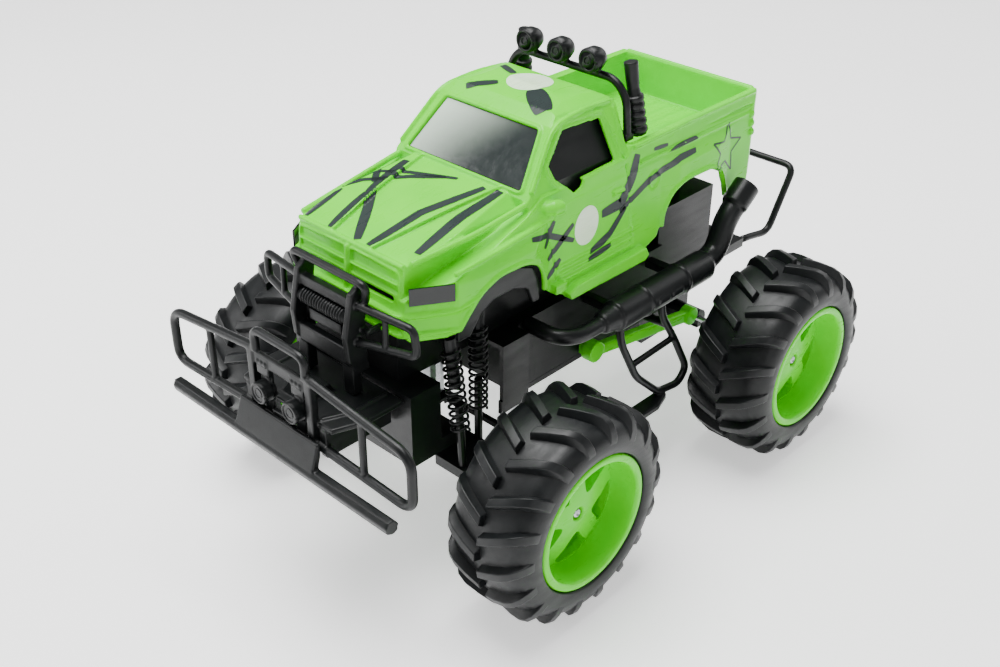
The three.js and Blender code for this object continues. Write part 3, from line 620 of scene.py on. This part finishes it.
piece(
    "bumper_frame", bumper_shape(), BLACK, "chassis", ("front_bumper",), fuse=0.55, smooth=3
)

lamp_rings = Shape()
for x in (12, -12):
    lamp_rings.sweep(facing_circle(x, -195.3, BUMPER_LAMP_Z, 5.1, 32), 0.75, 10)
    lamp_rings.sweep(facing_circle(x, -195.4, BUMPER_LAMP_Z, 2.6, 24), 0.4, 8)
piece("bumper_lamp_rings", lamp_rings, BLACK, "chassis")


def exhaust_shape():
    x, z, r = 62, 115, 9.0
    s = Shape()
    s.sweep([(x, -16, z), (x, -14.6, z), (x, 66, z), (x, 69, z)], [7.4, r, r, 7.4], 40)
    for y in (8, 42):
        s.sweep([(x, y, z), (x, y + 0.5, z), (x, y + 1.6, z), (x, y + 2.1, z)], [r, r + 0.6, r + 0.6, r], 40)
    s.sweep([(x, -26, z), (x, -24.5, z), (x, -15, z)], [5.4, 6.2, 7.6], 32)
    s.tube([(36.5, -56, 118), (56, -55, 117), (x, -44, z), (x, -20, z)], 4.4, 9, 24)
    s.tube([(x, 60, z), (x, 78, 119), (x, 86, 138), (x, 103, 151.2)], 6.9, 7, 28)
    s.sweep([(x, 92, 143.5), (x, 93.2, 144.5), (x, 104.5, 153)], [7.2, 8.0, 8.0], 32)
    for y in (-8, 48):
        s.box((36.5, y - 3, z - 3), (x - 4, y + 3, z + 2))
    for y in (15, 27):
        s.box((x + 7.6, y, z - 1.6), (x + 9.5, y + 9, z + 1.6))
    return s


def step_bar_shape():
    s = Shape()
    s.tube(
        [(62.5, -9, 105), (64, -9, 96), (69, 0, 72), (70.5, 20, 53), (70.5, 40, 49.5), (69, 49, 56), (65, 40, 78),
         (62.5, 30, 96), (62, 29, 104)],
        2.3,
        5,
    )
    s.cone((67.2, -1.5, 80), (65, 38, 79), 1.9)
    s.cone((36.4, 33.5, 88), (63.8, 33.5, 90), 2.6)
    s.prism([(66, -20), (73, -24), (78, -18), (78, 12), (74, 24), (68, 26), (68, 0)], "z", 47.6, 51.4)
    s.cone((70.2, 22, 50), (70.5, 22, 53.5), 2.2)
    return s


exhaust = exhaust_shape()
step_bar = step_bar_shape()
for side, sign in SIDES:
    piece(
        f"exhaust_{side}", mirror_mesh(exhaust, sign), BLACK, "chassis",
        (f"side_exhaust_{side}",), fuse=0.6,
    )
    piece(
        f"step_bar_{side}", mirror_mesh(step_bar, sign), BLACK, "chassis",
        (f"side_bar_{side}",), fuse=0.5, smooth=3,
    )

hoop = Shape().tube(
    [(33, 150.5, 89), (34, 163, 88), (36, 178, 86), (38, 197.7, 127), (-38, 197.7, 127), (-36, 178, 86), (-34, 163, 88),
     (-33, 150.5, 89)],
    2.3,
    7,
)
piece("tail_hoop", hoop, BLACK, "chassis", ("rear_hoop",))


def roof_bar_shape():
    y = 12.6
    s = Shape()
    s.tube([(-43, y, 205), (-41, y, 226), (-33, y, 234.5), (33, y, 234.5), (41, y, 226), (43, y, 205)], 2.2, 6)
    s.box((36.7, 9.7, 203.5), (44.8, 16.0, 206.8))
    s.box((-44.8, 9.7, 203.5), (-36.7, 16.0, 206.8))
    for x in (-22, 0, 22):
        s.cone((x, y - 0.5, 235), (x, y - 1.5, 239.5), 1.6)
    return s


piece("light_bar", roof_bar_shape(), BLACK, "chassis", ("roof_bar",), fuse=0.5, smooth=3)
for name, x in (("left", 22), ("centre", 0), ("right", -22)):
    cup = Shape().sweep(
        [(x, y, ROOF_LAMP_Z) for y in (2.6, 2.4, 3.3, 9.1, 12.5, 14.4)],
        [5.2, 6.3, 6.5, 6.5, 5.0, 3.0], 40,
    )
    cup.sweep(facing_circle(x, 3.0, ROOF_LAMP_Z, 5.4, 36), 0.9, 10)
    cup.sweep(facing_circle(x, 2.4, ROOF_LAMP_Z, 2.2, 24), 0.45, 8)
    cup.box((x - 1.6, 9.4, 238.2), (x + 1.6, 12.8, 239.6))
    piece(f"roof_light_{name}", cup, BLACK, "chassis", (f"roof_lamp_{name}",))


def bull_bar_shape():
    y = -157
    s = Shape()
    cheek = Shape().prism(
        [(-150.7, 172), (-154, 176.8), (-161, 171.8), (-165.8, 150), (-164.8, 136), (-158, 128.2),
         (-152.2, 128.2), (-154, 150)],
        "x", 17.7, 21.3,
    )
    s.both(cheek)
    s.box((-18, -160.8, 163.2), (18, -156.2, 168.8))
    s.box((-18, -163.8, 133.2), (18, -159.2, 142.8))
    s.box((-18, -157.3, 143), (18, -155.7, 164))
    s.tube([(-24, -155, 168), (-27.5, y, 178), (27.5, y, 178), (24, -155, 168)], 2.1, 5)
    half = Shape()
    half.tube([(20, -158, 166), (54.5, -152.5, 164), (55.5, -152, 149.5), (20, -159, 146)], 2.1, 4)
    half.cone((38, -155.3, 165), (38, -155.8, 148), 1.6)
    half.box((13.2, -162.8, 116.5), (20.8, -157.2, 134))
    half.box((24.2, -155, 150.2), (26.8, -147, 153.3))
    half.box((19, -157, 150.7), (27, -153, 152.8))
    s.both(half)
    s.box((-12, -161.2, 146.4), (12, -157.3, 152.2))
    return s


piece("winch_guard", bull_bar_shape(), BLACK, "chassis", ("bull_bar",), fuse=0.5, smooth=3)
winch = Shape().cone((-17.2, -159.8, 158), (17.2, -159.8, 158), 3.7)
rope = []
for i in range(16 * 22 + 1):
    a = 2 * math.pi * i / 22
    rope.append((-15.5 + 31.0 * i / (16 * 22), -159.8 + 3.6 * math.cos(a), 158 + 3.6 * math.sin(a)))
winch.sweep(rope, 0.75, 8)
piece("winch_coil", winch, BLACK, "chassis", ("winch_drum",))

stack = Shape()
STACK_FOOT = Vector((42, 23.5, 203.6))
STACK_KNEE = Vector((39.4, 20.5, 226))
STACK_TOP = Vector((37, 19.5, 243.3))
stack.sweep([STACK_FOOT, STACK_KNEE, STACK_KNEE.lerp(STACK_TOP, 0.2), STACK_TOP], [4.4, 3.8, 3.4, 3.9], 28)
for t in (0.06, 0.26, 0.46, 0.66, 0.84):
    ring = [STACK_FOOT.lerp(STACK_KNEE, t + d) for d in (0, 0.02, 0.12, 0.14)]
    stack.sweep(ring, [4.2, 5.3, 5.2, 4.1], 28)
for side, sign in SIDES:
    piece(
        f"stack_{side}", mirror_mesh(stack, sign), BLACK, "chassis",
        (f"exhaust_stack_{side}",), fuse=0.45, smooth=2,
    )


# ------------------------------------------------------------------ the pickup body
def cab_side(z):
    """Half width of the cab at a height."""
    stops = ((186, 50.0), (190, 48.7), (199, 47.6), (224, 39.7), (229, 36.2))
    for (z0, x0), (z1, x1) in zip(stops, stops[1:]):
        if z <= z1:
            return x0 + (x1 - x0) * max(z - z0, 0) / (z1 - z0)
    return stops[-1][1]


def on_cab(points, lift=0.0):
    return [(cab_side(z) + lift, y, z) for y, z in points]


def bead(shape, route, r, bend=3.0):
    """A raised moulded line."""
    shape.tube(route, r, bend, 10, 4)


WINDSCREEN_RISE = math.atan2(28.5, 25.5)
WINDOW_FRAME = [(-36, 226), (-6, 224.5), (-0.5, 210), (1, 195), (-27, 193.5), (-30, 189.5), (-37, 188),
                (-51.5, 201), (-54, 209), (-36, 226)]
DOOR_SEAM_FRONT = [(50.6, -59, 187), (50.6, -55, 172), (50.5, -51, 158), (50.5, -49, 146)]
DOOR_SEAM_REAR = [(47.3, 3.6, 200.5), (50.4, 5.6, 188), (50.5, 8.6, 170), (50.5, 11, 146)]
FRONT_ARCH = [(-59.5, 146), (-60, 155), (-66, 165), (-77, 170), (-96, 170.6), (-109, 165.6), (-117.5, 157),
              (-123, 150.5)]
REAR_ARCH = [(38.5, 146), (38.8, 155), (45, 165.8), (56, 170.3), (80, 169.8), (91.5, 164.4), (97.5, 152.5),
             (100, 146.5)]

GRILLE_FRAME = [(1.6, -144.9, 165.4), (36.4, -144.9, 165.4), (36.6, -143.6, 183.2), (1.6, -143.9, 184.4),
                (1.6, -144.9, 165.4)]
DOOR_HANDLE = [(49.5, -6.5, 182), (51.4, -6.3, 182), (51.4, 1.3, 181.6), (49.5, 1.5, 181.6)]
MIRROR_HEAD = [(47.5, -61, 190.5), (50.8, -59.2, 191.2), (53.4, -56.4, 191.8), (54.2, -52.8, 191.6),
               (52.4, -50.8, 191)]
BED_SEAM = [(50.6, 14, 195.6), (50.4, 60, 195.4), (48.9, 121, 194.8)]


def windscreen_at(u, v, lift):
    c, d = math.cos(WINDSCREEN_RISE), math.sin(WINDSCREEN_RISE)
    return (u, -69 + v * c - lift * d, 197 + v * d + lift * c)


def fender_side(y):
    """Half width of the lower body at a place along it."""
    stops = ((-148, 40), (-144, 41), (-123, 54), (-108, 54.5), (-70, 54.5), (-56, 50.5), (36, 50.5), (50, 52.5),
             (86, 52.5), (100, 50.5))
    for (y0, x0), (y1, x1) in zip(stops, stops[1:]):
        if y <= y1:
            return x0 + (x1 - x0) * max(y - y0, 0) / (y1 - y0)
    return stops[-1][1]


def body_beads():
    """The raised lines of the moulding on one side of the truck."""
    s = Shape()
    bead(s, on_cab(WINDOW_FRAME, 0.1), 1.0)
    bead(s, [(46.9, -66, 200.4), (39.4, -42.5, 226.6), (38.2, -18, 228.4), (37.6, 3, 227)], 1.3, 8)
    bead(s, on_cab([(7.2, 197), (4.8, 212), (2.8, 224)], 0.1), 0.9)
    for arch in (FRONT_ARCH, REAR_ARCH):
        bead(s, [(fender_side(y) - 0.2, y, z) for y, z in arch], 1.5, 5)
    for z, front, rear in ((145.2, -47, 13), (149.6, -47.5, 13), (154.2, -49, 12)):
        bead(s, [(50.3, front, z), (50.3, rear, z)], 1.1)
    s.box((49.2, -54, 141.2), (54.8, -46, 146.6))
    bead(s, [(52.7, -124.2, 180.6), (53.6, -100, 182.6), (53.0, -75, 184.4), (50.8, -60, 184.6)], 1.4, 8)
    bead(s, [(39.5, -139.5, 187.2), (44.2, -100, 190.6), (45.8, -64, 195.6)], 1.7, 8)
    bead(s, [(0.0, -148.0, 161.8), (39.6, -147.8, 161.8), (53.7, -123.4, 161.8), (54.3, -112, 163.5)], 1.2, 4)
    bead(s, [(0.0, -147.9, 151.4), (39.6, -147.7, 151.4), (53.4, -123.8, 151.4)], 1.2, 4)
    bead(s, GRILLE_FRAME, 0.9, 2.5)
    for z in (171.2, 176.8):
        bead(s, [(3, -144.8, z), (35.6, -144.6, z)], 0.7)
    bead(s, [(14, -141.5, 187.6), (22, -104, 195.0), (28, -69, 199.0)], 0.9, 8)
    bead(s, [(49.4, 10, 202.2), (49.0, 60, 202.6), (48.4, 123.5, 202.2)], 1.5)
    bead(s, [(50.6, 16, 191.6), (51.0, 60, 191.2), (49.8, 117, 190.4)], 0.8)
    for y, z in ((119.6, 189.4), (120.4, 183.6), (121.2, 177.8)):
        s.sweep([(47.5, y, z), (50.6, y, z), (51.6, y, z)], [2.5, 2.4, 1.5], 20)
    turns = [2 * math.pi * k / 32 for k in range(33)]
    s.sweep([(50.6, 29 + 4.6 * math.cos(a), 178 + 4.6 * math.sin(a)) for a in turns], 0.65, 8)
    s.sweep(DOOR_HANDLE, [1.0, 1.3, 1.3, 1.0], 12)
    s.sweep(MIRROR_HEAD, [2.4, 3.4, 4.1, 3.7, 2.2], 20)
    s.sweep([(48.5, -63, 187.2), (51.4, -60, 186.6), (52.4, -55, 186.2)], [2.2, 2.6, 1.8], 16)
    return s


def body_centre_beads():
    s = Shape()
    screen = [(-41.6, 2.6), (41.6, 2.6), (33.4, 36.6), (-33.4, 36.6), (-41.6, 2.6)]
    bead(s, [windscreen_at(u, v, 0.2) for u, v in screen], 1.1, 3)
    bead(s, [(0, -147.0, 152), (0, -145.8, 170), (0, -143.6, 185.2)], 1.6, 3)
    bead(s, [(-38, -142.6, 186.2), (38, -142.6, 186.2)], 1.4)
    for k in range(9):
        x = -36 + 9 * k
        s.box((x - 1.5, 14, 178), (x + 1.5, 120, 179.8))
    bead(s, [(-46, 124, 202.8), (46, 124, 202.8)], 1.5)
    tailgate = [(-40, 190), (-40, 158), (40, 158), (40, 190), (-40, 190)]
    bead(s, [(x, 128.0, z) for x, z in tailgate], 1.0, 4)
    s.box((-9, 127, 181), (9, 128.9, 187))
    return s


def seams():
    s = Shape()
    for route in (DOOR_SEAM_FRONT, DOOR_SEAM_REAR, BED_SEAM):
        s.sweep(route, 0.85, 8)
    return s


shell = frame["nodes"]["body_shell"]
shell.modifiers.clear()
moulding = bpy.data.objects.new("pickup_body", shell.data.copy())
moulding.data.transform(shell.matrix_world)
bpy.context.scene.collection.objects.link(moulding)
boolean(moulding, Shape().both(seams()), "door_seams")
joined = bmesh.new()
joined.from_mesh(moulding.data)
joined.from_mesh(Shape().both(body_beads()).add(body_centre_beads()).mesh("body_beads"))
joined.to_mesh(moulding.data)
joined.free()
moulding.data.name = "pickup_body"
dress(moulding, GREEN)
melt(moulding, 0.6, 3)
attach(moulding, "chassis")
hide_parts("body_shell")
for name in ("wheel_arch_liner", "skid_plate", "link_bar_left", "link_bar_right"):
    cad = frame["nodes"][name]
    cad.modifiers.clear()
    melt(cad, 0.6, 4)

bpy.context.view_layer.update()
depsgraph = bpy.context.evaluated_depsgraph_get()
shell_eval = moulding.evaluated_get(depsgraph)
shell_mesh = shell_eval.to_mesh()
shell_tree = BVHTree.FromPolygons(
    [shell_eval.matrix_world @ v.co for v in shell_mesh.vertices],
    [tuple(p.vertices) for p in shell_mesh.polygons],
)
shell_eval.to_mesh_clear()


STICKER_LIFT = 0.00013
STICKER_REACH = 0.08
STICKER_STRETCH = 0.004


def lay(name, outlines, origin_of, direction, material):
    """Thin stickers: each outline is a grid of places, dropped onto the body along a direction."""
    verts, faces = [], []
    for grid in outlines:
        hits = []
        for row in grid:
            line = []
            for u, v in row:
                place = Vector(origin_of(u, v)) * MM
                hit, normal, _, _ = shell_tree.ray_cast(place, Vector(direction), STICKER_REACH)
                if hit is None:
                    line.append(None)
                    continue
                if normal.dot(Vector(direction)) > 0:
                    normal = -normal
                line.append(len(verts))
                verts.append(hit + normal * STICKER_LIFT)
            hits.append(line)
        for i in range(len(hits) - 1):
            for j in range(len(hits[i]) - 1):
                quad = (hits[i][j], hits[i][j + 1], hits[i + 1][j + 1], hits[i + 1][j])
                if None in quad:
                    continue
                spread = max((verts[quad[0]] - verts[q]).length for q in quad)
                if spread < STICKER_STRETCH:
                    faces.append(quad)
    data = bpy.data.meshes.new(name)
    data.from_pydata(verts, [], faces)
    for face in data.polygons:
        face.use_smooth = True
    obj = bpy.data.objects.new(name, data)
    bpy.context.scene.collection.objects.link(obj)
    dress(obj, material)
    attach(obj, "chassis")
    return obj


def stroke(points, width, taper=0.6):
    """A brush stroke as a grid of places: full in the middle, narrower at its ends."""
    p = [Vector(q) for q in points]
    lengths = [(b - a).length for a, b in zip(p, p[1:])]
    total = sum(lengths)
    count = max(int(total / 0.5), 4)
    rows = []
    for i in range(count + 1):
        s = total * i / count
        k = 0
        while k < len(lengths) - 1 and s > lengths[k]:
            s -= lengths[k]
            k += 1
        at = p[k].lerp(p[k + 1], min(s / lengths[k], 1.0))
        along = (p[k + 1] - p[k]).normalized()
        across = Vector((-along.y, along.x))
        t = i / count
        half = width / 2 * (taper + (1 - taper) * math.sin(math.pi * t) ** 0.5)
        rows.append([tuple(at + across * half * f) for f in (-1, -0.67, -0.33, 0, 0.33, 0.67, 1)])
    return rows


def disc_grid(cu, cv, ru, rv):
    """A filled oval as a grid of places."""
    rows = []
    for i in range(13):
        f = i / 12
        row = []
        for k in range(49):
            a = 2 * math.pi * k / 48
            row.append((cu + ru * f * math.cos(a), cv + rv * f * math.sin(a)))
        rows.append(row)
    return rows


HOOD_STROKES = (
    (3.2, [(-36.0, -140.0), (-39.4, -114.0)]),
    (7.2, [(-17.0, -139.8), (-24.5, -108.6)]),
    (7.0, [(-24.5, -108.6), (-27.2, -95.9), (-31.1, -76.0)]),
    (5.5, [(1.7, -139.4), (-10.0, -124.0), (-23.4, -106.8)]),
    (4.0, [(-29.5, -100.7), (-40.0, -88.0)]),
    (5.4, [(10.0, -139.7), (11.5, -107.2), (21.5, -72.5)]),
    (6.0, [(35.1, -131.5), (30.7, -97.5), (30.7, -70.5)]),
    (3.4, [(-41.0, -112.0), (-36.0, -102.5), (-17.9, -86.4), (-2.0, -76.5)]),
    (3.2, [(-40.0, -106.6), (-38.4, -94.1), (-37.0, -74.0)]),
    (3.0, [(-36.0, -92.0), (-22.0, -84.0), (4.0, -74.0)]),
)
ROOF_STROKES = (
    (6.0, [(-25.8, -38.0), (-14.0, -26.0)]),
    (12.0, [(8.0, -22.0), (28.0, -37.0)]),
    (5.0, [(-30.0, -6.0), (-16.0, -12.0)]),
)
SIDE_STROKES = (
    (3.4, [(-71.4, 179.3), (-59.6, 177.0), (-36.9, 165.5)]),
    (3.6, [(-52.5, 182.3), (-60.4, 170.0)]),
    (3.8, [(-56.9, 161.5), (-37.5, 175.2)]),
    (3.6, [(-57.0, 150.7), (-47.0, 158.7)]),
    (4.6, [(-23.6, 153.3), (-7.4, 158.4), (5.0, 169.9)]),
    (3.4, [(-25.0, 149.3), (-6.1, 151.9)]),
    (7.0, [(14.2, 197.0), (8.7, 184.4), (1.0, 173.5), (-14.9, 172.6)]),
    (4.4, [(0.1, 168.7), (24.7, 179.1), (50.7, 184.2), (64.6, 184.4)]),
    (2.4, [(28.1, 195.4), (40.4, 194.5)]),
    (2.8, [(40.9, 190.8), (65.4, 191.3)]),
)
STAR_POINTS = [(96.2, 191.0), (99.5, 180.5), (110.5, 177.5), (101.5, 171.5), (103.0, 160.0), (95.0, 168.0),
               (84.0, 164.0), (88.5, 174.5), (81.0, 182.5), (92.0, 181.0), (96.2, 191.0)]

lay("hood_slashes", [stroke(p, w) for w, p in HOOD_STROKES], lambda u, v: (u, v, 240), (0, 0, -1), INK)
lay("roof_slashes", [stroke(p, w) for w, p in ROOF_STROKES], lambda u, v: (u, v, 250), (0, 0, -1), INK)
lay("roof_roundel", [disc_grid(-2.0, -14.6, 12.4, 12.4)], lambda u, v: (u, v, 250), (0, 0, -1), PALE)
for side, sign in SIDES:
    def beside(u, v, sign=sign):
        return (sign * 75, u, v)

    inward = (-sign, 0, 0)
    lay(f"side_slashes_{side}", [stroke(p, w) for w, p in SIDE_STROKES], beside, inward, INK)
    lay(f"door_roundel_{side}", [disc_grid(-27.0, 170.5, 9.4, 11.0)], beside, inward, PALE)
    star = [stroke([a, b], 1.1, 1.0) for a, b in zip(STAR_POINTS, STAR_POINTS[1:])]
    lay(f"bed_star_{side}", star, beside, inward, INK)


# ------------------------------------------------------------------ stage, light and camera
def ground():
    material = Nodes("studio_floor")
    material.bsdf.inputs["Base Color"].default_value = (0.95, 0.95, 0.95, 1)
    material.bsdf.inputs["Emission Color"].default_value = (1, 1, 1, 1)
    material.bsdf.inputs["Emission Strength"].default_value = 0.7
    tone = material.ramp(material.noise(3, 2), 0.55, 0.65)
    material.link(tone, material.bsdf.inputs["Roughness"])
    work = bmesh.new()
    bmesh.ops.create_grid(work, x_segments=2, y_segments=2, size=6)
    data = bpy.data.meshes.new("studio_floor")
    work.to_mesh(data)
    work.free()
    obj = bpy.data.objects.new("studio_floor", data)
    obj.location = (0, 0, -0.0002)
    bpy.context.scene.collection.objects.link(obj)
    dress(obj, material.material)


def soft_light(name, place, target, size, power):
    data = bpy.data.lights.new(name, "AREA")
    data.shape = "RECTANGLE"
    data.size, data.size_y = size
    data.energy = power
    obj = bpy.data.objects.new(name, data)
    obj.location = place
    obj.rotation_euler = (Vector(target) - Vector(place)).to_track_quat("-Z", "Y").to_euler()
    bpy.context.scene.collection.objects.link(obj)


ground()
soft_light("top_box", (-0.25, -0.1, 1.5), (0, 0, 0.1), (1.1, 1.1), 46)
soft_light("front_left_box", (-1.2, -1.2, 0.9), (0, 0, 0.12), (1.0, 0.8), 15)
soft_light("near_side_box", (1.5, -0.5, 0.8), (0, 0, 0.12), (1.0, 0.8), 4)
soft_light("rear_box", (0.3, 1.5, 0.9), (0, 0, 0.15), (1.2, 0.7), 8)
world = bpy.data.worlds.new("studio")
world.use_nodes = True
world.node_tree.nodes["Background"].inputs["Color"].default_value = (1, 1, 1, 1)
world.node_tree.nodes["Background"].inputs["Strength"].default_value = 0.4
bpy.context.scene.world = world

AZIMUTH, ELEVATION, ROLL = (math.radians(a) for a in (43.617, 31.838, 0.277))
back = Vector(
    (math.sin(AZIMUTH) * math.cos(ELEVATION), -math.cos(AZIMUTH) * math.cos(ELEVATION), math.sin(ELEVATION))
)
level = Vector((math.cos(AZIMUTH), math.sin(AZIMUTH), 0))
right = level * math.cos(ROLL) + back.cross(level) * math.sin(ROLL)
up = back.cross(right)
camera_data = bpy.data.cameras.new("photo_view")
camera_data.lens = 45.39
camera_data.sensor_width = 36
camera = bpy.data.objects.new("photo_view", camera_data)
CAMERA_PLACE = (0.4203, -0.4795, 0.4663)
camera.matrix_world = Matrix.Translation(CAMERA_PLACE) @ Matrix((right, up, back)).transposed().to_4x4()
bpy.context.scene.collection.objects.link(camera)
bpy.context.scene.camera = camera
